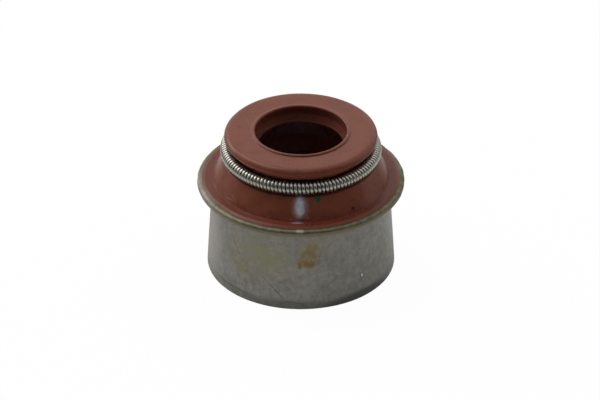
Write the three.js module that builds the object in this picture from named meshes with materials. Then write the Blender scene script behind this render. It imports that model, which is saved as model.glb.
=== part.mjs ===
// A valve stem seal for a 7 mm valve stem and an 11 mm valve guide, in millimetres, +Z up.
// It has three pieces, as the real one has:
//   steel_case     a pressed sheet-steel sleeve with a flange turned outward at its top
//   rubber_body    one moulding, bonded to the case: a ribbed lining that grips the guide,
//                  a cone, and a head with the lip that wipes the stem
//   garter_spring  a coil spring closed into a ring, which lies in the head's groove and
//                  presses the lip on the stem
// The origin is on the axis, at the foot of the case.
import * as THREE from "three";

// The valve's own parts that the seal is sized for
const stemDiameter = 7.0;
const guideDiameter = 11.0;

// The case, pressed from one sheet
const sheetThickness = 0.55;
const caseHeight = 7.46;
const wallDraft = 3.3; // degrees that the wall leans in towards its top
const bendRadius = 0.35; // inside radius of the bend under the flange
const flangeWidth = 1.07; // from the wall to the flange's edge
const flangeEdgeRounding = 0.2;
const footRounding = 0.18;
const footChamfer = 0.08;

// The lining, which grips the guide
const liningThickness = 0.62; // at the neck, between the case and the bore
const guideClearance = 0.15; // radial, between the guide and the bore beside the ribs
const ribGrip = 0.2; // radial, by which a free rib is smaller than the guide
const ribCount = 3;
const ribWidth = 0.9;
const ribPitch = 1.5;
const lowestRib = 1.75; // height of the first rib's crest above the foot
const liningEnd = 0.45; // height of the lining's end above the foot
const leadInDepth = 0.5;
const leadInFlare = 0.4;

// The collar of rubber that lies on the flange, and the stop for the guide's end
const exposedRim = 0.38; // width of bare steel outside the collar
const collarWidth = 0.76;
const collarHeight = 0.16;
const collarRounding = 0.14;
const coneFootFillet = 0.18;
const stopDrop = 0.24; // from the flange's top down to the stop

// The head and its lip
const coneRise = 1.85; // from the collar's top to the seat of the spring
const coneBrow = 0.28; // how far the cone's top edge stands out past the middle of the coil
const coneBrowDrop = 0.07; // of that edge below the seat
const coneBrowRounding = 0.07;
const lipGrip = 0.275; // radial, by which the free lip is smaller than the stem
const lipWall = 1.86; // rubber between the lip and the bottom of the spring's seat
const lipOffset = 0.36; // height of the lip's edge above the middle of the spring
const lipTrim = 0.08; // the lip's edge is trimmed flat by this much
const headRise = 1.515; // from the middle of the spring to the head's top face
const headEdge = 0.61; // height of the head's rim above its groove
const headRounding = 0.45;
const headUnderRounding = 0.1;
const throatRelief = 1.0; // radial, from the lip's edge to the throat under it
const throatHeight = 1.5; // from the stop to where the lip's lower face begins
const throatChamfer = 0.22;
const mouthFlare = 0.265; // radial, from the lip's edge to the mouth
const mouthDepth = 0.5; // straight part of the mouth above the lip's upper face
const beadWidth = 0.28; // raised bead around the mouth
const beadHeight = 0.12;

// The garter spring
const wireDiameter = 0.24;
const coilDiameter = 1.02;
const turnGap = 0.023; // between neighbouring turns, on the inner side of the ring
const springClearance = 0.03;
const springProud = 0.31; // how far the coil stands out past the head's edge
const interleavedTurns = 3; // turns of the nib that are screwed into the open end
const nibTaper = 0.04;
const jointBearing = 100; // degrees round from +X to the spring's joint

// Facets
const latheSegments = 44;
const stepsPerTurn = 7;
const wireSides = 4;

// Radii that follow from the stem, from the inside out
const lipRadius = stemDiameter / 2 - lipGrip;
const mouthRadius = lipRadius + mouthFlare;
const throatRadius = lipRadius + throatRelief;
const coilRadius = coilDiameter / 2;
const coilMeanRadius = (coilDiameter - wireDiameter) / 2;
const seatRadius = coilRadius + springClearance;
const ringRadius = lipRadius + lipWall + seatRadius;
const headRadius = ringRadius + coilRadius - springProud;

// Radii that follow from the guide
const boreRadius = guideDiameter / 2 + guideClearance;
const ribCrestRadius = guideDiameter / 2 - ribGrip;
const neckRadius = boreRadius + liningThickness + sheetThickness;
const flangeRadius = neckRadius + flangeWidth;
const collarRadius = flangeRadius - exposedRim;
const coneFootRadius = collarRadius - collarWidth;

// Heights above the foot
const flangeUnderside = caseHeight - sheetThickness;
const stopHeight = caseHeight - stopDrop;
const collarTop = caseHeight + collarHeight;
const springPlane = collarTop + coneRise + seatRadius;
const headTop = springPlane + headRise;
const headEdgeBottom = headTop - headEdge;
const lipHeight = springPlane + lipOffset;

const radians = THREE.MathUtils.degToRad;
const at = (radius, height) => new THREE.Vector2(radius, height);

// Points on an arc of the profile, angles in degrees from the +radius direction.
function arc(centreRadius, centreHeight, radius, from, to, steps) {
  return Array.from({ length: steps + 1 }, (_, step) => {
    const angle = radians(THREE.MathUtils.lerp(from, to, step / steps));
    return at(centreRadius + radius * Math.cos(angle), centreHeight + radius * Math.sin(angle));
  });
}

// The point that lies inset along the line from one point towards another.
function towards(from, to, inset) {
  return from.clone().add(to.clone().sub(from).setLength(inset));
}

// Rounds the corner between two straight stretches with an arc-like curve that leaves
// them inset from the corner.
function roundedCorner(before, corner, after, inset, steps) {
  const start = towards(corner, before, inset);
  const end = towards(corner, after, inset);
  return new THREE.QuadraticBezierCurve(start, corner, end).getPoints(steps);
}

// The solid that a closed profile sweeps round the Z axis. The profile runs up its outer
// side and down its inner side.
function revolve(profile) {
  const geometry = new THREE.LatheGeometry([...profile, profile[0]], latheSegments);
  return geometry.rotateX(Math.PI / 2);
}

// The wall of the case is a cone that leans in by the draft. Its bend turns it out into
// the flange, and both faces of the bend share one centre, because the sheet is of one
// thickness everywhere.
const lean = radians(wallDraft);
const bendTangent = at(neckRadius, flangeUnderside - bendRadius * (1 + Math.sin(lean)));
const bendCentre = at(neckRadius + bendRadius * Math.cos(lean), flangeUnderside - bendRadius);
const outerWall = (height) => neckRadius + (bendTangent.y - height) * Math.tan(lean);
const innerWall = (height) => outerWall(height) - sheetThickness / Math.cos(lean);

// The face that steel and rubber share, from the lining's end up over the bend to the
// collar's edge on the flange.
const bondedFace = [
  at(innerWall(liningEnd), liningEnd),
  ...arc(bendCentre.x, bendCentre.y, bendRadius + sheetThickness, 180 + wallDraft, 90, 4),
  at(collarRadius, caseHeight),
];

function caseProfile() {
  const footCentre = outerWall(footRounding) - footRounding / Math.cos(lean);
  return [
    at(innerWall(0) + footChamfer, 0),
    ...arc(footCentre, footRounding, footRounding, -90, wallDraft, 3),
    ...arc(bendCentre.x, bendCentre.y, bendRadius, 180 + wallDraft, 90, 3),
    ...arc(flangeRadius - flangeEdgeRounding, flangeUnderside + flangeEdgeRounding,
      flangeEdgeRounding, -90, 0, 2),
    ...arc(flangeRadius - flangeEdgeRounding, caseHeight - flangeEdgeRounding,
      flangeEdgeRounding, 0, 90, 2),
    ...[...bondedFace].reverse(),
    at(innerWall(footChamfer), footChamfer),
  ];
}

// The bead round the mouth, half an ellipse from its outer side to its inner side.
function bead() {
  const middle = mouthRadius + beadWidth / 2;
  return arc(0, 0, 1, 0, 180, 4).map((point) =>
    at(middle + point.x * beadWidth / 2, headTop + point.y * beadHeight));
}

// The outside of the rubber, from the collar up the cone, round the spring's seat and over
// the head to the bead.
function rubberOutside() {
  const coneFoot = at(coneFootRadius, collarTop);
  const coneTop = at(ringRadius + coneBrow, springPlane - seatRadius - coneBrowDrop);
  const headLower = at(headRadius, headEdgeBottom);
  const seatBack = arc(ringRadius, springPlane, seatRadius, 250, 135, 5);
  const seatTop = seatBack[seatBack.length - 1];
  return [
    ...arc(collarRadius - collarRounding, collarTop - collarRounding, collarRounding, 0, 90, 2),
    ...roundedCorner(at(collarRadius, collarTop), coneFoot, coneTop, coneFootFillet, 3),
    ...roundedCorner(coneFoot, coneTop, seatBack[0], coneBrowRounding, 2),
    ...seatBack,
    ...roundedCorner(seatTop, headLower, at(headRadius, headTop), headUnderRounding, 2),
    ...arc(headRadius - headRounding, headTop - headRounding, headRounding, 0, 90, 4),
    ...bead(),
  ];
}

// The mouth, the lip, the throat under it and the stop for the guide's end.
function rubberThroat() {
  return [
    at(mouthRadius, lipHeight + mouthDepth + lipTrim),
    at(lipRadius + mouthFlare / 3, lipHeight + lipTrim * 2),
    at(lipRadius, lipHeight + lipTrim / 2),
    at(lipRadius, lipHeight - lipTrim / 2),
    at(throatRadius, stopHeight + throatHeight),
    at(throatRadius, stopHeight + throatChamfer),
    at(throatRadius + throatChamfer, stopHeight),
    at(boreRadius, stopHeight),
  ];
}

// A rounded rib across the bore, from its upper side to its lower side.
function rib(crestHeight) {
  return [180, 144, 108, 72, 36, 0].map((angle) =>
    at(boreRadius - (boreRadius - ribCrestRadius) * Math.sin(radians(angle)),
      crestHeight - ribWidth / 2 * Math.cos(radians(angle))));
}

function rubberLining() {
  const crests = Array.from({ length: ribCount }, (_, place) => lowestRib + place * ribPitch);
  return [
    ...crests.reverse().flatMap(rib),
    at(boreRadius, liningEnd + leadInDepth),
    at(boreRadius + leadInFlare, liningEnd),
  ];
}

function rubberProfile() {
  return [...bondedFace, ...rubberOutside(), ...rubberThroat(), ...rubberLining()];
}

// The spring is one length of wire. Its last turns, the nib, are screwed between its first
// turns, so both lie at twice the pitch there and fill each other's gaps.
const turns = Math.floor(
  2 * Math.PI * (ringRadius - coilMeanRadius) / (wireDiameter + turnGap));
const ringLength = 2 * Math.PI * ringRadius;
const pitch = ringLength / (turns + 0.5);
const openEndTurn = 0.5;
const closingTurn = ringLength / pitch - interleavedTurns;
const nibEndTurn = closingTurn + interleavedTurns - 0.5;

// How far round the ring the wire has come after so many turns.
function stationOfTurn(turn) {
  if (turn < interleavedTurns) return 2 * pitch * turn;
  if (turn < closingTurn) return pitch * (turn + interleavedTurns);
  return ringLength + 2 * pitch * (turn - closingTurn);
}

class CoiledWire extends THREE.Curve {
  getPoint(share, target = new THREE.Vector3()) {
    const turn = THREE.MathUtils.lerp(openEndTurn, nibEndTurn, share);
    const bearing = stationOfTurn(turn) / ringRadius + radians(jointBearing);
    const phase = -2 * Math.PI * turn;
    const nibShare = THREE.MathUtils.smoothstep(turn, closingTurn, nibEndTurn);
    const radius = coilMeanRadius - nibTaper * nibShare;
    const reach = ringRadius + radius * Math.cos(phase);
    return target.set(
      reach * Math.cos(bearing),
      reach * Math.sin(bearing),
      springPlane + radius * Math.sin(phase),
    );
  }
}

function springGeometry() {
  const wire = new CoiledWire();
  const steps = Math.round((nibEndTurn - openEndTurn) * stepsPerTurn);
  wire.arcLengthDivisions = steps * 4;
  const section = new THREE.Shape(
    Array.from({ length: wireSides }, (_, side) => {
      const angle = 2 * Math.PI * side / wireSides;
      return at(wireDiameter / 2 * Math.cos(angle), wireDiameter / 2 * Math.sin(angle));
    }));
  return new THREE.ExtrudeGeometry(section, { steps, extrudePath: wire });
}

function piece(name, geometry, color, roughness, metalness) {
  const material = new THREE.MeshStandardMaterial({ color, roughness, metalness });
  const mesh = new THREE.Mesh(geometry, material);
  mesh.name = name;
  return mesh;
}

const seal = new THREE.Group();
seal.add(
  piece("steel_case", revolve(caseProfile()), 0x86847c, 0.5, 0.85),
  piece("rubber_body", revolve(rubberProfile()), 0x7c4a3d, 0.55, 0),
  piece("garter_spring", springGeometry(), 0xa9aba6, 0.3, 1),
);
export default seal;
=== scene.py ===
# %% [markdown]
# A valve stem seal sits on top of a valve guide in an engine and wipes the oil off the valve's
# stem. It has three pieces: a pressed steel case, a rubber body that is bonded to the case, and
# a garter spring that presses the rubber's lip on the stem.
#
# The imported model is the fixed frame. Its solids set the sizes but have coarse facets, so each
# piece is made again here, finer, in the same place, and gets its finish.

import math

import bmesh
import bpy
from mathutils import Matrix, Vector, noise


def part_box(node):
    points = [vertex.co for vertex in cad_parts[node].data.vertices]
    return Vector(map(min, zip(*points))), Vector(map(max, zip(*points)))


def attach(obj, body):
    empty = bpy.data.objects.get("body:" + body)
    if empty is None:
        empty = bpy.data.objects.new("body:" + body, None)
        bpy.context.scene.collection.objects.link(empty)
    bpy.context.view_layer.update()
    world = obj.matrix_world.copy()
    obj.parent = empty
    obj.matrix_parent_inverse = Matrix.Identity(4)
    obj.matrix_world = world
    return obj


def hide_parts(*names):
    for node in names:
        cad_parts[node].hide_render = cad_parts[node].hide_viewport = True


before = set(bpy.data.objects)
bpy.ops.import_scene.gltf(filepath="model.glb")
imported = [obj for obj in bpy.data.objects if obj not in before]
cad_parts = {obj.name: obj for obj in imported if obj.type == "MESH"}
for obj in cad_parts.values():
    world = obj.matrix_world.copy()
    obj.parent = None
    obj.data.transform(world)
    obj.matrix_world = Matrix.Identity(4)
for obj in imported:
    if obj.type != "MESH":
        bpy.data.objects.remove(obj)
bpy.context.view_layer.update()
MM = 0.001  # the sizes below are in millimetres, and Blender's are in metres
print("frame nodes:", sorted(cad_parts))

# %% [markdown]
# The camera comes first, because every later choice is judged through it. The photograph was
# taken from far off with a long lens: the ellipses of the rim and of the head are almost equally
# open. So the camera stands 0.4 m away, 32 degrees above the table, and its lens is as long as
# it takes to give the seal its size in the picture.

# %% Place the camera
IMAGE_WIDTH = 600
IMAGE_HEIGHT = 400
SENSOR_WIDTH = 36.0
CAMERA_DISTANCE = 400.0  # mm
CAMERA_ELEVATION = math.radians(32.2)
PIXELS_PER_MM = 13.1  # scale of the picture at the seal
AXIS_PIXEL_X = 300.9  # where the seal's axis stands in the picture
MARK_PIXEL_Y = 180.3  # where the point of the axis at MARK_HEIGHT stands
MARK_HEIGHT = 7.12

towards_camera = Vector((0, -math.cos(CAMERA_ELEVATION), math.sin(CAMERA_ELEVATION)))
drop = (IMAGE_HEIGHT / 2 - MARK_PIXEL_Y) / PIXELS_PER_MM / math.cos(CAMERA_ELEVATION)
aim = Vector(((IMAGE_WIDTH / 2 - AXIS_PIXEL_X) / PIXELS_PER_MM, 0, MARK_HEIGHT - drop))

camera_data = bpy.data.cameras.new("long_lens")
camera_data.sensor_width = SENSOR_WIDTH
camera_data.lens = SENSOR_WIDTH * PIXELS_PER_MM * CAMERA_DISTANCE / IMAGE_WIDTH
camera_data.clip_start = 10 * MM
camera = bpy.data.objects.new("camera", camera_data)
camera.location = (aim + towards_camera * CAMERA_DISTANCE) * MM
camera.rotation_euler = towards_camera.to_track_quat("Z", "Y").to_euler()
bpy.context.scene.collection.objects.link(camera)
bpy.context.scene.camera = camera
bpy.context.scene.view_settings.view_transform = "Standard"
print("lens in mm:", round(camera_data.lens, 1), "aimed at height", round(aim.z, 2))

# %% [markdown]
# Materials are built from nodes. These few helpers keep the later cells short: one adds a node
# and sets it up, one makes noise of a given grain size in millimetres, and one turns a value
# into a mask between two edges. Others lay the seal's skin flat and make a mark on it. Colours
# are written as they look on a screen, from 0 to 255, and turned into the linear numbers that
# Blender mixes.

# %% Helpers for materials
def screen_colour(red, green, blue):
    """The linear colour, with alpha, of a colour as a screen shows it."""
    def linear(level):
        share = level / 255
        return share / 12.92 if share <= 0.04045 else ((share + 0.055) / 1.055) ** 2.4
    return (linear(red), linear(green), linear(blue), 1.0)


def add_node(tree, kind, inputs=None, **settings):
    """Adds a shader node, gives it settings, and feeds its inputs with values or sockets."""
    made = tree.nodes.new("ShaderNode" + kind)
    for name, value in settings.items():
        setattr(made, name, value)
    for name, value in (inputs or {}).items():
        if isinstance(value, bpy.types.NodeSocket):
            tree.links.new(value, made.inputs[name])
        else:
            made.inputs[name].default_value = value
    return made


def new_finish(name):
    """A new material, its node tree and its main shader."""
    finish = bpy.data.materials.new(name)
    finish.use_nodes = True
    return finish, finish.node_tree, finish.node_tree.nodes["Principled BSDF"]


def place_in_mm(tree):
    """The shaded point's place on the seal, in millimetres."""
    spot = add_node(tree, "TexCoord").outputs["Object"]
    scale = (1 / MM, 1 / MM, 1 / MM)
    return add_node(tree, "Mapping", {"Vector": spot, "Scale": scale}).outputs["Vector"]


def grain(tree, place, size, detail=2.0, roughness=0.5):
    """Cloudy noise from 0 to 1, with clouds of about that size in millimetres."""
    made = add_node(tree, "TexNoise", {
        "Vector": place, "Scale": 1 / size, "Detail": detail, "Roughness": roughness})
    return made.outputs["Fac"]


def between(tree, value, low, high, from_level=0.0, to_level=1.0):
    """Rises smoothly from from_level at low to to_level at high."""
    made = add_node(tree, "MapRange", {
        "Value": value, "From Min": low, "From Max": high,
        "To Min": from_level, "To Max": to_level}, interpolation_type="SMOOTHSTEP")
    return made.outputs["Result"]


def sum_up(tree, operation, first, second):
    """One sum with two numbers, either of which may be a socket."""
    made = add_node(tree, "Math", {0: first, 1: second}, operation=operation)
    return made.outputs["Value"]


def tint(tree, below, above, mask):
    """The colour above laid over the colour below where the mask is 1."""
    made = add_node(tree, "Mix", {"Factor": mask}, data_type="RGBA")
    for socket, colour in ((made.inputs[6], below), (made.inputs[7], above)):
        if isinstance(colour, bpy.types.NodeSocket):
            tree.links.new(colour, socket)
        else:
            socket.default_value = colour
    return made.outputs[2]


UNROLL_RADIUS = 7.0  # mm, where the skin laid flat has its true width


def unroll(tree, place):
    """The seal's skin laid flat, in millimetres: to the right of the front, and up."""
    parts = add_node(tree, "SeparateXYZ", {"Vector": place}).outputs
    forward = sum_up(tree, "MULTIPLY", parts["Y"], -1.0)
    bearing = sum_up(tree, "ARCTAN2", parts["X"], forward)
    right = sum_up(tree, "MULTIPLY", bearing, UNROLL_RADIUS)
    return add_node(tree, "CombineXYZ", {"X": right, "Y": parts["Z"]}).outputs["Vector"]


def fray(tree, sheet, size, amount):
    """The laid-out skin pushed about by noise, so that marks on it get ragged edges."""
    cloud = add_node(tree, "TexNoise", {"Vector": sheet, "Scale": 1 / size, "Detail": 4.0})
    shift = add_node(tree, "VectorMath", {0: cloud.outputs["Color"], 1: (0.5, 0.5, 0.5)},
                     operation="SUBTRACT")
    reach = (2 * amount, 2 * amount, 0)
    moved = add_node(tree, "VectorMath", {0: shift.outputs["Vector"], 1: reach, 2: sheet},
                     operation="MULTIPLY_ADD")
    return moved.outputs["Vector"]


def mark(tree, sheet, centre, half_size, turn, softness=0.5):
    """A mask that is 1 inside a turned ellipse on the laid-out skin and fades to its edge."""
    local = add_node(tree, "Mapping", {
        "Vector": sheet, "Location": (*centre, 0), "Rotation": (0, 0, math.radians(turn)),
        "Scale": (*half_size, 1)}, vector_type="TEXTURE").outputs["Vector"]
    away = add_node(tree, "VectorMath", {0: local}, operation="LENGTH").outputs["Value"]
    return between(tree, away, 1 - softness, 1, 1, 0)


LOT_EDGE = 0.02  # how sharply a speck is in or out


def specks(tree, place, spacing, radius, share):
    """A mask of small round specks, at that share of points strewn about by their spacing."""
    strewn = add_node(tree, "TexVoronoi", {"Vector": place, "Scale": 1 / spacing}).outputs
    lot = add_node(tree, "SeparateXYZ", {"Vector": strewn["Color"]}).outputs["X"]
    chosen = between(tree, lot, 1 - share, 1 - share + LOT_EDGE)
    near = between(tree, strewn["Distance"], radius / spacing, radius / spacing / 2)
    return sum_up(tree, "MULTIPLY", near, chosen)


print("material helpers are ready")

# %% [markdown]
# Both the case and the rubber are round about one axis, so each is an outline turned through a
# full circle. The outline is written as corners, each with its own rounding, which is how a
# drawing of a turned part gives it. A Screw modifier could turn it too, but a mesh made in code
# can also carry the small unevenness that a real pressing or moulding has.

# %% Helpers for turned shapes
ARC_STEP = math.radians(9)  # at most this much of a turn between two points of a rounding
RING_SEGMENTS = 256
POINT_SPACING = 0.15  # mm, at most, between two points of an outline


def arc_points(radius, height, size, start, end):
    """Corners without rounding along an arc about (radius, height), angles in degrees."""
    steps = max(2, math.ceil(abs(math.radians(end - start)) / ARC_STEP))
    angles = [math.radians(start + (end - start) * step / steps) for step in range(steps + 1)]
    return [(radius + size * math.cos(angle), height + size * math.sin(angle), 0)
            for angle in angles]


def round_corner(before, corner, after, rounding):
    """The points of the arc that rounds one corner between two straight stretches."""
    back = (before - corner).normalized()
    onward = (after - corner).normalized()
    half = back.angle(onward) / 2
    middle = corner + (back + onward).normalized() * rounding / math.sin(half)
    start = corner + back * rounding / math.tan(half) - middle
    end = corner + onward * rounding / math.tan(half) - middle
    first = math.atan2(start.y, start.x)
    turn = (math.atan2(end.y, end.x) - first + math.pi) % (2 * math.pi) - math.pi
    steps = max(2, math.ceil(abs(turn) / ARC_STEP))
    angles = [first + turn * step / steps for step in range(steps + 1)]
    return [middle + Vector((math.cos(angle), math.sin(angle))) * rounding for angle in angles]


def trace_outline(corners):
    """The closed outline's points. Each corner has a radius, a height and a rounding."""
    places = [Vector(corner[:2]) for corner in corners]
    traced = []
    for index, (radius, height, rounding) in enumerate(corners):
        if rounding:
            after = places[(index + 1) % len(places)]
            traced += round_corner(places[index - 1], places[index], after, rounding)
        else:
            traced.append(places[index])
    filled = []
    for index, point in enumerate(traced):
        following = traced[(index + 1) % len(traced)]
        pieces = max(1, math.ceil((following - point).length / POINT_SPACING))
        filled += [point.lerp(following, piece / pieces) for piece in range(pieces)]
    return filled


def turn_outline(name, outline, unevenness):
    """A mesh object of the outline turned about the axis. unevenness(place) gives the shift
    in millimetres of each point from its true place."""
    form = bmesh.new()
    rings = []
    for segment in range(RING_SEGMENTS):
        angle = 2 * math.pi * segment / RING_SEGMENTS
        around = Vector((math.cos(angle), math.sin(angle), 0))
        ring = []
        for point in outline:
            place = around * point.x + Vector((0, 0, point.y))
            ring.append(form.verts.new((place + unevenness(place)) * MM))
        rings.append(ring)
    count = len(outline)
    for segment, ring in enumerate(rings):
        onward = rings[(segment + 1) % RING_SEGMENTS]
        for index in range(count):
            above = (index + 1) % count
            form.faces.new((ring[index], onward[index], onward[above], ring[above]))
    return mesh_object(name, form)


def mesh_object(name, form):
    """Turns a finished bmesh into a smooth-shaded object in the scene."""
    bmesh.ops.recalc_face_normals(form, faces=form.faces)
    mesh = bpy.data.meshes.new(name)
    form.to_mesh(mesh)
    form.free()
    mesh.shade_smooth()
    made = bpy.data.objects.new(name, mesh)
    bpy.context.scene.collection.objects.link(made)
    return made


def dress(piece, finish, node):
    """Gives a piece its finish, and lets it stand for its solid in the frame."""
    piece.data.materials.append(finish)
    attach(piece, "root")
    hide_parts(node)
    print(piece.name, "has", len(piece.data.polygons), "faces")


print("turning helpers are ready")

# %% [markdown]
# The steel case is pressed from one sheet. Its wall leans in a little towards the top, so that
# it leaves the tool, and its top is turned outward into a flange. The outer sizes come from the
# frame, and the rest follows from the sheet and the bend. A real pressing is never quite even,
# so its wall gets slow waves and the flange's edge is slightly ragged.

# %% Make the steel case
_, case_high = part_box("steel_case")
flange_radius = case_high.x / MM
case_height = case_high.z / MM
SHEET = 0.55
FLANGE_WIDTH = 1.07
BEND_RADIUS = 0.35
WALL_LEAN = math.radians(3.3)
WAVE_DEPTH = 0.012
WAVE_CLOSENESS = 0.35  # about how many waves there are on a millimetre
RAGGED_DEPTH = 0.025
RAGGED_CLOSENESS = 1.6
RAGGED_START = 0.4  # mm outside the neck, where the ragged edge starts
RAGGED_RISE = 0.5  # and how much further out it is full
OTHER_NOISE = Vector((40, 0, 0))  # far from the waves' noise, so that the two don't match

neck_radius = flange_radius - FLANGE_WIDTH
flange_underside = case_height - SHEET
neck_height = flange_underside - BEND_RADIUS * (1 + math.sin(WALL_LEAN))


def outer_wall(height):
    """Radius of the case's outer face, in millimetres."""
    return neck_radius + (neck_height - height) * math.tan(WALL_LEAN)


def inner_wall(height):
    """Radius of the case's inner face."""
    return outer_wall(height) - SHEET / math.cos(WALL_LEAN)


case_corners = [
    (inner_wall(0), 0, 0.06),  # foot, inside
    (outer_wall(0), 0, 0.18),  # foot, outside
    (outer_wall(flange_underside), flange_underside, BEND_RADIUS),  # bend, from below
    (flange_radius, flange_underside, 0.2),  # edge of the flange
    (flange_radius, case_height, 0.24),
    (inner_wall(case_height), case_height, BEND_RADIUS + SHEET),  # bend, from above
]


def pressed_unevenness(place):
    """The slow waves of a pressed wall, and the slightly ragged edge of the flange."""
    flat = Vector((place.x, place.y, 0))
    wave = noise.noise(place * WAVE_CLOSENESS) * WAVE_DEPTH
    ragged = noise.noise(flat * RAGGED_CLOSENESS + OTHER_NOISE) * RAGGED_DEPTH
    at_edge = min(1, max(0, (flat.length - neck_radius - RAGGED_START) / RAGGED_RISE))
    sideways = flat.normalized() * (wave + ragged * at_edge - WAVE_DEPTH)
    return sideways + Vector((0, 0, ragged * at_edge))


case_pressing = turn_outline("case_pressing", trace_outline(case_corners), pressed_unevenness)
print("flange radius", round(flange_radius, 2), "foot radius", round(outer_wall(0), 2))

# %% [markdown]
# The bare steel has a thin yellow film, brown and rusty stains at the front, and a few
# scratches. It also has painted dark shade along its foot, a painted highlight on the front of
# the rim and a painted pale sheen on its left side. They could be painted on an unwrapped
# picture, but a list of ellipses is short and easy to change. Each lies on the seal's skin laid
# flat, where its place is in millimetres to the right of the front and above the foot. A long
# thin one is a scratch.

# %% List the stains, scratches and painted light
YELLOW_FILM = screen_colour(130, 126, 104)
OLIVE_FILM = screen_colour(128, 120, 90)
# Painted sheen: a paler tint where the wall's left side and the flange's left edge catch more
# light.
PAINTED_LEFT_SHEEN = screen_colour(158, 153, 146)
BROWN_STAIN = screen_colour(117, 103, 68)
RUST_STAIN = screen_colour(113, 91, 52)
FOOT_SHADE = screen_colour(72, 72, 70)
DARK_SCRATCH = screen_colour(62, 57, 52)
LIGHT_SCRATCH = screen_colour(150, 147, 132)
BARE_SPOT = screen_colour(180, 194, 206)
# Painted highlight on the front of the rim.
PAINTED_RIM_HIGHLIGHT = screen_colour(190, 186, 160)

# centre, half width and height, turn in degrees, softness, strength, colour
# Real stains, and the painted sheen on the left side.
SPILT_STAINS_AND_SHEEN = [
    ((-3.2, 4.3), (4.2, 2.1), -12, 0.9, 1.0, YELLOW_FILM),
    ((-4.9, 3.0), (1.8, 0.9), -25, 0.9, 0.7, OLIVE_FILM),
    ((0.75, 5.1), (1.2, 1.2), 0, 0.8, 0.8, OLIVE_FILM),
    ((0.7, 4.35), (1.15, 0.95), 4, 0.4, 0.85, BROWN_STAIN),
    ((0.8, 5.4), (0.9, 0.6), 0, 0.7, 0.5, BROWN_STAIN),
    ((0.2, 3.9), (0.65, 0.42), 20, 0.6, 0.9, RUST_STAIN),
    ((1.0, 4.0), (0.5, 0.3), 0, 0.6, 0.7, RUST_STAIN),
    # painted sheen on the left side of the wall and of the flange
    ((-8.9, 3.3), (2.2, 4.5), 0, 0.8, 0.6, PAINTED_LEFT_SHEEN),
    ((-9.0, 7.2), (4.8, 0.7), 0, 0.8, 0.7, PAINTED_LEFT_SHEEN),
]

# centre, half width and height, turn in degrees, strength, colour
# Scratches and spots, with painted shade along the foot and a painted highlight on the rim.
CLEAN_MARKS = [
    ((4.9, 0.1), (4.3, 0.85), 0, 0.85, FOOT_SHADE),
    ((-1.85, 1.48), (1.0, 0.06), -46, 0.55, DARK_SCRATCH),
    ((-2.0, 1.43), (0.8, 0.06), -46, 0.3, LIGHT_SCRATCH),
    ((-2.65, 2.25), (0.7, 0.05), -44, 0.35, DARK_SCRATCH),
    ((-0.45, 0.66), (0.85, 0.05), -11, 0.45, DARK_SCRATCH),
    ((-1.2, 2.1), (1.0, 0.05), -42, 0.25, DARK_SCRATCH),
    ((-3.3, 1.7), (0.9, 0.05), -48, 0.3, LIGHT_SCRATCH),
    ((2.4, 2.3), (0.9, 0.06), 40, 0.25, DARK_SCRATCH),
    ((3.4, 4.6), (1.1, 0.05), 62, 0.25, LIGHT_SCRATCH),
    ((-5.8, 4.4), (1.1, 0.12), -58, 0.25, LIGHT_SCRATCH),
    ((-5.3, 4.1), (1.2, 0.08), -55, 0.2, DARK_SCRATCH),
    ((-6.2, 0.74), (2.6, 0.08), -1, 0.45, DARK_SCRATCH),
    ((-1.0, 0.1), (5.0, 0.8), 0, 0.3, FOOT_SHADE),
    ((5.0, 2.0), (0.26, 0.28), 0, 0.6, DARK_SCRATCH),
    ((5.0, 2.0), (0.14, 0.19), 0, 1.0, BARE_SPOT),
    # painted highlight on the front of the rim
    ((-0.07, 7.41), (0.34, 0.14), 0, 0.45, PAINTED_RIM_HIGHLIGHT),
    ((8.66, 3.6), (0.12, 0.12), 0, 0.6, DARK_SCRATCH),
]
print(len(SPILT_STAINS_AND_SHEEN), "spilt stains and", len(CLEAN_MARKS), "marks with a clean edge")

# %% [markdown]
# One metal shader carries the steel's whole finish. It is dull and greenish grey, mottled by
# clouds of three grain sizes, browner under the flange and darker on top of its bare rim. Near
# the foot it is darker all round, which is painted shade. Noise pushes the edges of the stains
# and of the painted sheen about, so that they look spilt, and breaks them into patches. The same
# clouds drive the roughness and a shallow bump, so that light and colour go together.

# %% Finish the steel
STEEL_DARK = screen_colour(119, 118, 111)
STEEL_LIGHT = screen_colour(134, 132, 124)
BLOTCH_DARK = screen_colour(100, 100, 92)
BLOTCH_LIGHT = screen_colour(150, 147, 142)
GRAIN_DARK = screen_colour(92, 91, 85)
GRAIN_LIGHT = screen_colour(144, 142, 135)
UNDER_FLANGE = screen_colour(130, 122, 97)
RIM_TOP = screen_colour(98, 93, 72)


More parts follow.
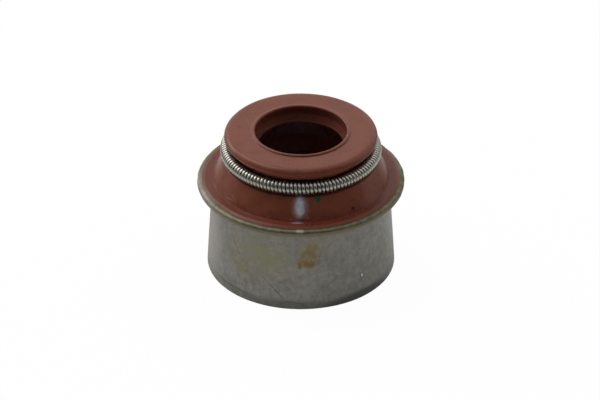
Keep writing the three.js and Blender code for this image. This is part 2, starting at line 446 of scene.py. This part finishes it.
def finish_steel():
    """Dull pressed steel with its stains and scratches."""
    finish, tree, shader = new_finish("case_steel")
    place = place_in_mm(tree)
    height = add_node(tree, "SeparateXYZ", {"Vector": place}).outputs["Z"]
    clouds = grain(tree, place, 1.5, 4.0, 0.65)
    blotches = grain(tree, place, 0.45, 4.0, 0.6)
    fine = grain(tree, place, 0.11, 3.0, 0.6)

    colour = tint(tree, STEEL_DARK, STEEL_LIGHT, between(tree, clouds, 0.38, 0.64))
    colour = tint(tree, colour, BLOTCH_DARK, between(tree, blotches, 0.5, 0.68, 0, 0.5))
    colour = tint(tree, colour, BLOTCH_LIGHT, between(tree, blotches, 0.48, 0.3, 0, 0.45))
    colour = tint(tree, colour, GRAIN_LIGHT, between(tree, fine, 0.55, 0.75, 0, 0.4))
    colour = tint(tree, colour, GRAIN_DARK, between(tree, fine, 0.45, 0.25, 0, 0.4))
    colour = tint(tree, colour, UNDER_FLANGE, between(tree, height, 5.7, 6.9, 0, 0.75))
    # Painted shade: darker all round towards the foot.
    colour = tint(tree, colour, GRAIN_DARK, between(tree, height, 1.0, 0.6, 0, 0.3))
    on_top = between(tree, height, 7.2, 7.38)
    dull = sum_up(tree, "MULTIPLY", on_top, between(tree, blotches, 0.4, 0.6, 0.35, 0.85))
    colour = tint(tree, colour, RIM_TOP, dull)

    sheet = unroll(tree, place)
    spilt = fray(tree, sheet, 0.6, 0.5)
    patches = between(tree, blotches, 0.4, 0.56, 0.45, 1)
    # Real stains and the painted sheen, then the marks with painted shade and a painted
    # highlight.
    for centre, half_size, turn, softness, strength, mark_colour in SPILT_STAINS_AND_SHEEN:
        mask = mark(tree, spilt, centre, half_size, turn, softness)
        share = sum_up(tree, "MULTIPLY", mask, sum_up(tree, "MULTIPLY", patches, strength))
        colour = tint(tree, colour, mark_colour, share)
    for centre, half_size, turn, strength, mark_colour in CLEAN_MARKS:
        mask = mark(tree, sheet, centre, half_size, turn)
        colour = tint(tree, colour, mark_colour, sum_up(tree, "MULTIPLY", mask, strength))
    tree.links.new(colour, shader.inputs["Base Color"])

    shader.inputs["Metallic"].default_value = 1.0
    rougher_rim = between(tree, height, 6.8, 7.0, 0, 0.18)
    rough = sum_up(tree, "ADD", between(tree, clouds, 0.3, 0.7, 0.42, 0.5), rougher_rim)
    tree.links.new(rough, shader.inputs["Roughness"])
    relief = sum_up(tree, "ADD", blotches, fine)
    bump = add_node(tree, "Bump", {"Height": relief, "Strength": 0.3, "Distance": 0.02 * MM})
    tree.links.new(bump.outputs["Normal"], shader.inputs["Normal"])
    return finish


dress(case_pressing, finish_steel(), "steel_case")

# %% [markdown]
# The rubber is one moulding. It lines the case, covers most of the flange as a flat collar,
# rises in a cone and ends in the head, with a groove for the spring between the two. Inside are
# the lip, a wider throat under it, the stop for the guide's end, and the ribs that grip the
# guide. The outer sizes come from the frame, and the rest builds up from the lip outward, as
# on a mould's drawing.

# %% Set the rubber's sizes
rubber_low, rubber_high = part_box("rubber_body")
LIP_RADIUS = 3.225
LIP_WALL = 1.86  # from the lip's edge to the groove
SEAT_RADIUS = 0.54  # of the groove
COIL_RADIUS = 0.51  # of the spring that lies in it
HEAD_STEP = 0.31  # how far the spring stands out past the head
COLLAR_THICKNESS = 0.16
COLLAR_WIDTH = 0.76
COLLAR_SPREAD = 0.03  # how far the collar's lower edge reaches past the solid's
CONE_RISE = 1.85
CONE_BROW = 0.28  # how far the cone's upper edge stands out past the ring's middle
GROOVE_SAG = 0.07  # the photograph shows the groove and its spring this much lower
BEAD_WIDTH = 0.28
BEAD_HEIGHT = 0.12
MOUTH_STEP = 0.265  # how much wider the mouth is than the lip
LIP_ABOVE_SPRING = 0.36
THROAT_STEP = 1.0
THROAT_HEIGHT = 1.5
STOP_BELOW_FLANGE = 0.24
BORE_RADIUS = 5.65
RIB_CREST = 5.3
RIB_HEIGHTS = (4.75, 3.25, 1.75)
MOULDED_CLOSENESS = 0.5  # about how many waves there are on a millimetre
MOULDED_NOISE = Vector((7, 3, 1))  # away from the steel's noise

collar_radius = rubber_high.x / MM
collar_top = case_height + COLLAR_THICKNESS
cone_foot = collar_radius - COLLAR_WIDTH
ring_radius = LIP_RADIUS + LIP_WALL + SEAT_RADIUS
spring_plane = collar_top + CONE_RISE + SEAT_RADIUS - GROOVE_SAG
head_radius = ring_radius + COIL_RADIUS - HEAD_STEP
head_top = rubber_high.z / MM - BEAD_HEIGHT
mouth_radius = LIP_RADIUS + MOUTH_STEP
lip_height = spring_plane + GROOVE_SAG + LIP_ABOVE_SPRING
throat_radius = LIP_RADIUS + THROAT_STEP
stop_height = case_height - STOP_BELOW_FLANGE
lining_end = rubber_low.z / MM
print("head radius", round(head_radius, 2), "head top", round(head_top, 2))

# %% [markdown]
# The outline starts at the foot of the lining, goes up where the rubber is bonded to the steel,
# then over the outside to the mouth, and back down the inside. The bead round the mouth and the
# ribs have helpers of their own, because they are curves or repeat.

# %% Make the rubber body
def bead_points():
    """Half an ellipse over the edge of the mouth, from its outer to its inner side."""
    middle = mouth_radius + BEAD_WIDTH / 2
    return [(middle + radius * BEAD_WIDTH / 2, head_top + height * BEAD_HEIGHT, 0)
            for radius, height, _ in arc_points(0, 0, 1, 0, 180)]


def rib_corners(crest_height):
    """A rounded rib across the bore, from its upper side to its lower side."""
    return [(BORE_RADIUS, crest_height + 0.45, 0.05), (RIB_CREST, crest_height + 0.1, 0.12),
            (RIB_CREST, crest_height - 0.1, 0.12), (BORE_RADIUS, crest_height - 0.45, 0.05)]


rubber_corners = [
    (inner_wall(lining_end), lining_end, 0),  # bonded to the case
    (inner_wall(case_height), case_height, BEND_RADIUS + SHEET),
    (collar_radius + COLLAR_SPREAD, case_height, 0),  # collar
    (collar_radius + COLLAR_SPREAD, case_height + 0.02, 0.01),
    (collar_radius - 0.19, collar_top, 0.25),
    (cone_foot, collar_top, 0.05),  # cone
    (ring_radius + CONE_BROW, spring_plane - SEAT_RADIUS - 0.14, 0.06),
    *arc_points(ring_radius, spring_plane, SEAT_RADIUS, 250, 135),  # groove
    (head_radius - 0.16, head_top - 0.66, 0.1),  # head
    (head_radius, head_top - 0.5, 0.15),
    (head_radius, head_top, 0.45),
    *bead_points(),
    (mouth_radius, lip_height + 0.6, 0.4),  # mouth and lip
    (LIP_RADIUS + 0.09, lip_height + 0.16, 0.05),
    (LIP_RADIUS, lip_height, 0.04),
    (throat_radius, stop_height + THROAT_HEIGHT, 0.3),  # throat
    (throat_radius, stop_height, 0.2),
    (BORE_RADIUS, stop_height, 0.06),  # stop for the guide
    *(corner for height in RIB_HEIGHTS for corner in rib_corners(height)),
    (BORE_RADIUS, lining_end + 0.5, 0.1),  # lead-in for the guide
    (BORE_RADIUS + 0.4, lining_end, 0.08),
]


def moulded_unevenness(place):
    """Soft waves of up to about ten microns, as a rubber moulding has."""
    outward = Vector((place.x, place.y, 0)).normalized()
    wave = noise.noise(place * MOULDED_CLOSENESS + MOULDED_NOISE) * WAVE_DEPTH
    return outward * wave + Vector((0, 0, wave * 0.5))


seal_moulding = turn_outline("seal_moulding", trace_outline(rubber_corners), moulded_unevenness)
print("outline has", len(rubber_corners), "corners")

# %% [markdown]
# This rubber is red-brown and satin. Most of its life comes from the light: its top faces show
# the brightness behind the seal as a soft sheen, and the cone's front is darker, because it
# faces the dark curtain. The shader adds faint clouds of colour, pale specks of dust, a redder
# collar, a green speck, a dark dot and a few fine scratches. It also paints light and shade:
# shade in the mouth, along the cone's foot and on the head's front edge, a pale highlight down
# the front of the cone, as a lamp in front would give, and its reflection on the collar. As a
# tint the highlight stays where the photograph shows it, without a lamp that would change the
# steel too.

# %% Finish the rubber
RUBBER_DARK = screen_colour(107, 56, 38)
RUBBER_LIGHT = screen_colour(115, 62, 44)
DUST = screen_colour(178, 142, 132)
# Painted shade down in the mouth.
MOUTH_SHADE = screen_colour(100, 54, 41)
COLLAR_RED = screen_colour(98, 43, 26)
# Painted highlight down the front of the cone, and its painted reflection on the collar.
PAINTED_CONE_HIGHLIGHT = screen_colour(198, 200, 214)
PALE_SCRATCH = screen_colour(160, 112, 96)
GREEN_SPECK = screen_colour(24, 78, 50)
DARK_DOT = screen_colour(40, 26, 42)
# Painted shade along the foot of the cone and on the front edge of the head.
PURPLE_SHADE = screen_colour(78, 40, 52)
HEAD_SHADE = screen_colour(84, 52, 54)
# The inside's colour is the painted shade in the mouth.
MOUTH_EDGE = (4.6, 4.4)  # mm from the axis, where the inside's colour starts and is full

# centre, half width and height, softness, strength
# Patches of the painted highlight on the cone's front.
CONE_HIGHLIGHT_PATCHES = [
    ((-0.05, 8.65), (0.95, 1.1), 0.95, 0.45),
    ((-0.12, 8.75), (0.52, 1.05), 0.6, 0.45),
    ((-0.1, 8.98), (0.34, 0.42), 0.8, 0.5),
    ((-0.03, 8.35), (0.42, 0.38), 0.8, 0.6),
]

# centre, half width and height, turn in degrees, strength, colour
RUBBER_MARKS = [
    ((1.52, 9.08), (0.29, 0.29), 0, 1.0, GREEN_SPECK),
    ((0.0, 7.78), (0.42, 0.09), 0, 0.5, PURPLE_SHADE),
    ((4.47, 7.93), (0.24, 0.17), 0, 0.9, DARK_DOT),
    ((-0.4, 11.4), (0.5, 0.12), 0, 0.45, HEAD_SHADE),
    ((-6.7, 7.86), (0.7, 0.04), 8, 0.5, PALE_SCRATCH),
    ((-6.3, 8.1), (0.5, 0.04), -20, 0.35, PALE_SCRATCH),
]


def finish_rubber():
    """Satin red-brown moulded rubber."""
    finish, tree, shader = new_finish("seal_rubber")
    place = place_in_mm(tree)
    parts = add_node(tree, "SeparateXYZ", {"Vector": place}).outputs
    plan = add_node(tree, "CombineXYZ", {"X": parts["X"], "Y": parts["Y"]}).outputs["Vector"]
    from_axis = add_node(tree, "VectorMath", {0: plan}, operation="LENGTH").outputs["Value"]
    clouds = grain(tree, place, 1.1, 3.0)
    coarse = grain(tree, place, 0.25, 3.0, 0.6)
    fine = grain(tree, place, 0.1, 2.0, 0.6)

    colour = tint(tree, RUBBER_DARK, RUBBER_LIGHT, between(tree, clouds, 0.35, 0.65))
    dust = sum_up(tree, "MULTIPLY", specks(tree, place, 0.6, 0.07, 0.3), 0.45)
    colour = tint(tree, colour, DUST, dust)
    # Painted shade inside the mouth.
    inside = sum_up(tree, "MULTIPLY", between(tree, from_axis, *MOUTH_EDGE),
                    between(tree, parts["Z"], head_top, head_top - 0.2))
    colour = tint(tree, colour, MOUTH_SHADE, inside)
    on_collar = between(tree, parts["Z"], collar_top + 0.08, collar_top + 0.02, 0, 0.85)
    colour = tint(tree, colour, COLLAR_RED, on_collar)

    sheet = unroll(tree, place)
    patchy = between(tree, coarse, 0.3, 0.6, 0.5, 1)
    # The painted highlight, broken into patches.
    for centre, half_size, softness, strength in CONE_HIGHLIGHT_PATCHES:
        cone_highlight = mark(tree, sheet, centre, half_size, 0, softness)
        share = sum_up(tree, "MULTIPLY", cone_highlight, sum_up(tree, "MULTIPLY", patchy, strength))
        colour = tint(tree, colour, PAINTED_CONE_HIGHLIGHT, share)
    # Its painted reflection on the collar in front of the cone.
    collar_reflection = mark(tree, plan, (-0.3, -cone_foot - 0.1), (0.65, 0.2), 0, 0.8)
    colour = tint(tree, colour, PAINTED_CONE_HIGHLIGHT, sum_up(tree, "MULTIPLY", collar_reflection, 0.3))
    for centre, half_size, turn, strength, mark_colour in RUBBER_MARKS:
        mask = mark(tree, sheet, centre, half_size, turn)
        colour = tint(tree, colour, mark_colour, sum_up(tree, "MULTIPLY", mask, strength))
    tree.links.new(colour, shader.inputs["Base Color"])

    shader.inputs["IOR"].default_value = 1.3
    tree.links.new(between(tree, clouds, 0.3, 0.7, 0.26, 0.36), shader.inputs["Roughness"])
    bump = add_node(tree, "Bump", {"Height": fine, "Strength": 0.08, "Distance": 0.01 * MM})
    tree.links.new(bump.outputs["Normal"], shader.inputs["Normal"])
    return finish


dress(seal_moulding, finish_rubber(), "rubber_body")

# %% [markdown]
# The garter spring is one wire wound into a close coil, and the coil is bent into a ring. Its
# last turns, the nib, are screwed into the open end to close it. A tube swept along the wire's
# true path gives every turn its own highlight, which a ring with a bump pattern can't do.

# %% Make the garter spring
spring_low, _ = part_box("garter_spring")
WIRE_RADIUS = 0.136
TURNS = 125
NIB_TURNS = 3
STEPS_PER_TURN = 28
WIRE_SIDES = 10
JOINT_BEARING = math.radians(100)  # against the clock from the right, so the joint is behind
END_TRIM = 0.5  # turns left out at both ends of the wire
SMALL_TURN = 0.001  # for the wire's direction
coil_middle = COIL_RADIUS - WIRE_RADIUS
ring_length = 2 * math.pi * ring_radius
pitch = ring_length / (TURNS + 0.5)
closing_turn = ring_length / pitch - NIB_TURNS


def station(turn):
    """How far round the ring the wire has come. The open end and the nib have twice the pitch."""
    if turn < NIB_TURNS:
        return 2 * pitch * turn
    if turn < closing_turn:
        return pitch * (turn + NIB_TURNS)
    return ring_length + 2 * pitch * (turn - closing_turn)


def wire_place(turn):
    """A point of the wire's middle line, and the direction from the coil's middle to it."""
    bearing = station(turn) / ring_radius + JOINT_BEARING
    phase = -2 * math.pi * turn
    outward = Vector((math.cos(bearing), math.sin(bearing), 0))
    off_middle = outward * math.cos(phase) + Vector((0, 0, math.sin(phase)))
    middle = outward * ring_radius + Vector((0, 0, spring_plane))
    return middle + off_middle * coil_middle, off_middle


def sweep_wire():
    """The wire as a closed tube along its path."""
    form = bmesh.new()
    first_turn, last_turn = END_TRIM, closing_turn + NIB_TURNS - END_TRIM
    steps = round((last_turn - first_turn) * STEPS_PER_TURN)
    rings = []
    for step in range(steps + 1):
        turn = first_turn + (last_turn - first_turn) * step / steps
        middle, off_middle = wire_place(turn)
        ahead, _ = wire_place(turn + SMALL_TURN)
        behind, _ = wire_place(turn - SMALL_TURN)
        along = (ahead - behind).normalized()
        sideways = along.cross(off_middle).normalized()
        ring = []
        for side in range(WIRE_SIDES):
            angle = 2 * math.pi * side / WIRE_SIDES
            offset = off_middle * math.cos(angle) + sideways * math.sin(angle)
            ring.append(form.verts.new((middle + offset * WIRE_RADIUS) * MM))
        rings.append(ring)
    for ring, onward in zip(rings, rings[1:]):
        for side in range(WIRE_SIDES):
            beside = (side + 1) % WIRE_SIDES
            form.faces.new((ring[side], ring[beside], onward[beside], onward[side]))
    form.faces.new(rings[0])
    form.faces.new(rings[-1])
    return mesh_object("spring_coil", form)


spring_coil = sweep_wire()
print("spring from", round(spring_plane - COIL_RADIUS, 3), "frame says",
      round(spring_low.z / MM, 3))

# %% [markdown]
# Spring wire is drawn through a die, which leaves it bright. A plain metal, not too smooth and
# with faint clouds, is enough, because the turns with their many small highlights do the rest.

# %% Finish the wire
WIRE_DARK = screen_colour(168, 167, 155)
WIRE_LIGHT = screen_colour(192, 191, 181)


def finish_wire():
    """Bright drawn wire."""
    finish, tree, shader = new_finish("spring_steel")
    place = place_in_mm(tree)
    clouds = grain(tree, place, 0.5)
    tree.links.new(tint(tree, WIRE_DARK, WIRE_LIGHT, clouds), shader.inputs["Base Color"])
    shader.inputs["Metallic"].default_value = 1.0
    tree.links.new(between(tree, clouds, 0.3, 0.7, 0.34, 0.4), shader.inputs["Roughness"])
    return finish


dress(spring_coil, finish_wire(), "garter_spring")

# %% [markdown]
# The table is plain and white. A lit white floor alone would render pale grey, so for the
# camera most of its colour is plain white, and the rest stays lit by the lamps and keeps the
# seal's faint shadow. The steel mirrors the table too. In the photograph the spring mirrors a
# table that is bright near the seal and dark further out, so for mirrored rays the white
# darkens with the distance. Inside the seal there is none, because little light gets there.

# %% Lay the floor
FLOOR_SIZE = 3.0
LIT_WHITE = (0.85, 0.85, 0.85, 1)
SEEN_WHITE_SHARE = 0.97
MIRRORED_WHITE_SHARE = 0.35
MIRRORED_DARK = 0.1  # what is left of the white far out
LIT_REACH = (24, 60)  # mm from the axis, where the mirrored table starts and ends to darken
FOOT_EDGE = (6.0, 7.1)  # mm from the axis, where the white starts and where it is full


def finish_floor():
    """White that looks white to the camera, with the shadow left in it."""
    finish, tree, shader = new_finish("floor_white")
    shader.inputs["Base Color"].default_value = LIT_WHITE
    shader.inputs["Roughness"].default_value = 0.9
    shader.inputs["Specular IOR Level"].default_value = 0.0
    path = add_node(tree, "LightPath")
    seen = sum_up(tree, "MULTIPLY", path.outputs["Is Camera Ray"], SEEN_WHITE_SHARE)
    mirrored = sum_up(tree, "MAXIMUM", path.outputs["Is Glossy Ray"],
                      path.outputs["Is Transmission Ray"])
    place = place_in_mm(tree)
    away = add_node(tree, "VectorMath", {0: place}, operation="LENGTH").outputs["Value"]
    mirrored_share = between(tree, away, *LIT_REACH, MIRRORED_WHITE_SHARE, 1)
    share = sum_up(tree, "MAXIMUM", seen, sum_up(tree, "MULTIPLY", mirrored, mirrored_share))
    share = sum_up(tree, "MULTIPLY", share, between(tree, away, *FOOT_EDGE))
    darkening = between(tree, away, *LIT_REACH, 0, 1 - MIRRORED_DARK)
    strength = sum_up(tree, "SUBTRACT", 1.0, sum_up(tree, "MULTIPLY", mirrored, darkening))
    white = add_node(tree, "Emission", {"Color": (1, 1, 1, 1), "Strength": strength})
    blend = add_node(tree, "MixShader", {0: share, 1: shader.outputs["BSDF"],
                                         2: white.outputs["Emission"]})
    output = tree.nodes["Material Output"]
    tree.links.new(blend.outputs["Shader"], output.inputs["Surface"])
    return finish


bpy.ops.mesh.primitive_plane_add(size=FLOOR_SIZE, location=(0, 0, 0))
floor = bpy.context.object
floor.name = "floor"
floor.data.materials.append(finish_floor())
print("floor is", FLOOR_SIZE, "m wide")

# %% [markdown]
# The light is plain and white from all round, so that colours come out nearly as written. A
# reflecting thing also needs something dark to reflect. The bright and dark bands on the
# photograph's spring suggest a bright ceiling, a dark room behind the camera and a white table.
# So a dark curtain stands round the table, and the camera looks through it. It is highest in
# front and sinks almost to the table on both sides, sooner on the right, because no lamp
# brightens the seal there. Two soft lamps at the left, behind the seal, give the glow on its
# left side.

# %% Light the room
CURTAIN_DISTANCE = 0.6  # metres
CURTAIN_TOP = 60.0  # degrees above the table that the curtain reaches in front
CURTAIN_MIDDLE = 14.0  # bearing of its highest part, right of the camera's side
CURTAIN_LEFT = (55.0, 125.0)  # degrees left of it where the curtain starts and ends to sink
CURTAIN_RIGHT = (42.0, 86.0)  # and degrees right of it
CURTAIN_STEPS = 96
CURTAIN_COLOUR = (0.045, 0.045, 0.065, 1)  # linear


def curtain_top(bearing):
    """Elevation of the curtain's upper edge, for a bearing in degrees."""
    turned = (bearing - CURTAIN_MIDDLE + 180) % 360 - 180
    full, end = CURTAIN_LEFT if turned < 0 else CURTAIN_RIGHT
    share = min(1, max(0, (end - abs(turned)) / (end - full)))
    return max(1, CURTAIN_TOP * share * share * (3 - 2 * share))


def hang_curtain():
    """A dark wall round the table, which the camera doesn't see."""
    form = bmesh.new()
    pairs = []
    for step in range(CURTAIN_STEPS):
        bearing = 360 * step / CURTAIN_STEPS
        x = CURTAIN_DISTANCE * math.sin(math.radians(bearing))
        y = -CURTAIN_DISTANCE * math.cos(math.radians(bearing))
        top = CURTAIN_DISTANCE * math.tan(math.radians(curtain_top(bearing)))
        pairs.append((form.verts.new((x, y, 0)), form.verts.new((x, y, top))))
    for step, (foot, top) in enumerate(pairs):
        next_foot, next_top = pairs[(step + 1) % CURTAIN_STEPS]
        form.faces.new((foot, next_foot, next_top, top))
    made = mesh_object("curtain", form)
    finish, tree, shader = new_finish("curtain_cloth")
    shader.inputs["Base Color"].default_value = CURTAIN_COLOUR
    shader.inputs["Roughness"].default_value = 1.0
    made.data.materials.append(finish)
    made.visible_camera = False
    return made


curtain = hang_curtain()

world = bpy.data.worlds.new("plain_light")
bpy.context.scene.world = world
world.use_nodes = True
sky = world.node_tree.nodes["Background"]
sky.inputs["Color"].default_value = (1, 1, 1, 1)
sky.inputs["Strength"].default_value = 1.0

SEAL_MIDDLE = 8.0  # mm above the table, where the lamps point


def add_softbox(name, bearing, elevation, distance, width, height, power):
    """A soft lamp that faces the seal, placed by its bearing right of the camera's side."""
    lamp = bpy.data.lights.new(name, "AREA")
    lamp.shape = "RECTANGLE"
    lamp.size = width
    lamp.size_y = height
    lamp.energy = power
    made = bpy.data.objects.new(name, lamp)
    turn = math.radians(bearing)
    rise = math.radians(elevation)
    away = Vector((math.sin(turn) * math.cos(rise), -math.cos(turn) * math.cos(rise),
                   math.sin(rise)))
    made.location = away * distance + Vector((0, 0, SEAL_MIDDLE * MM))
    made.rotation_euler = away.to_track_quat("Z", "Y").to_euler()
    bpy.context.scene.collection.objects.link(made)
    return made


add_softbox("ceiling_lamp", bearing=-125, elevation=58, distance=0.5, width=0.25, height=0.25,
            power=0.8)
add_softbox("left_lamp", bearing=-128, elevation=24, distance=0.5, width=0.16, height=0.2,
            power=0.5)
print("two lamps and a plain sky light the table")
